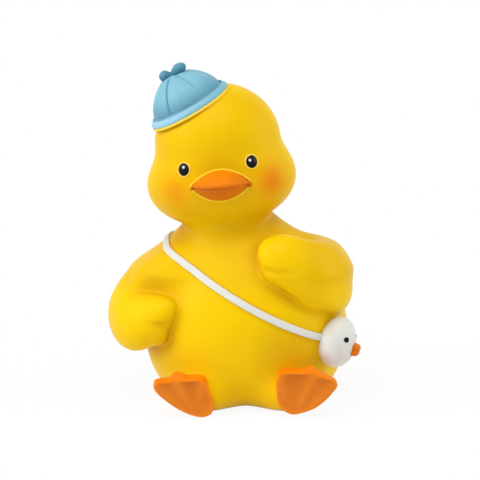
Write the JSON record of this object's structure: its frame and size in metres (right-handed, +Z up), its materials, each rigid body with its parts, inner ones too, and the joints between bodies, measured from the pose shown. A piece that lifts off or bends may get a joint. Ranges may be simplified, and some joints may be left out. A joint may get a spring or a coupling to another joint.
{
  "type": "duck figurine",
  "caption": "Sitting duckling ornament in a small hat, with a chick-shaped bag on a shoulder strap, cast solid in one piece with a flat base.",
  "frame": {"origin": "on the flat base, under the middle of the torso", "axes": "+Z up, the duckling faces -Y, +X to its own left"},
  "size_m": [0.0734, 0.0657, 0.0991],
  "materials": {
    "yellow_paint": "satin",
    "orange_paint": "satin",
    "blue_paint": "satin",
    "white_paint": "satin",
    "black_paint": "gloss"
  },
  "bodies": {
    "root": {"duck_figurine": "yellow_paint"}
  },
  "joints": []
}
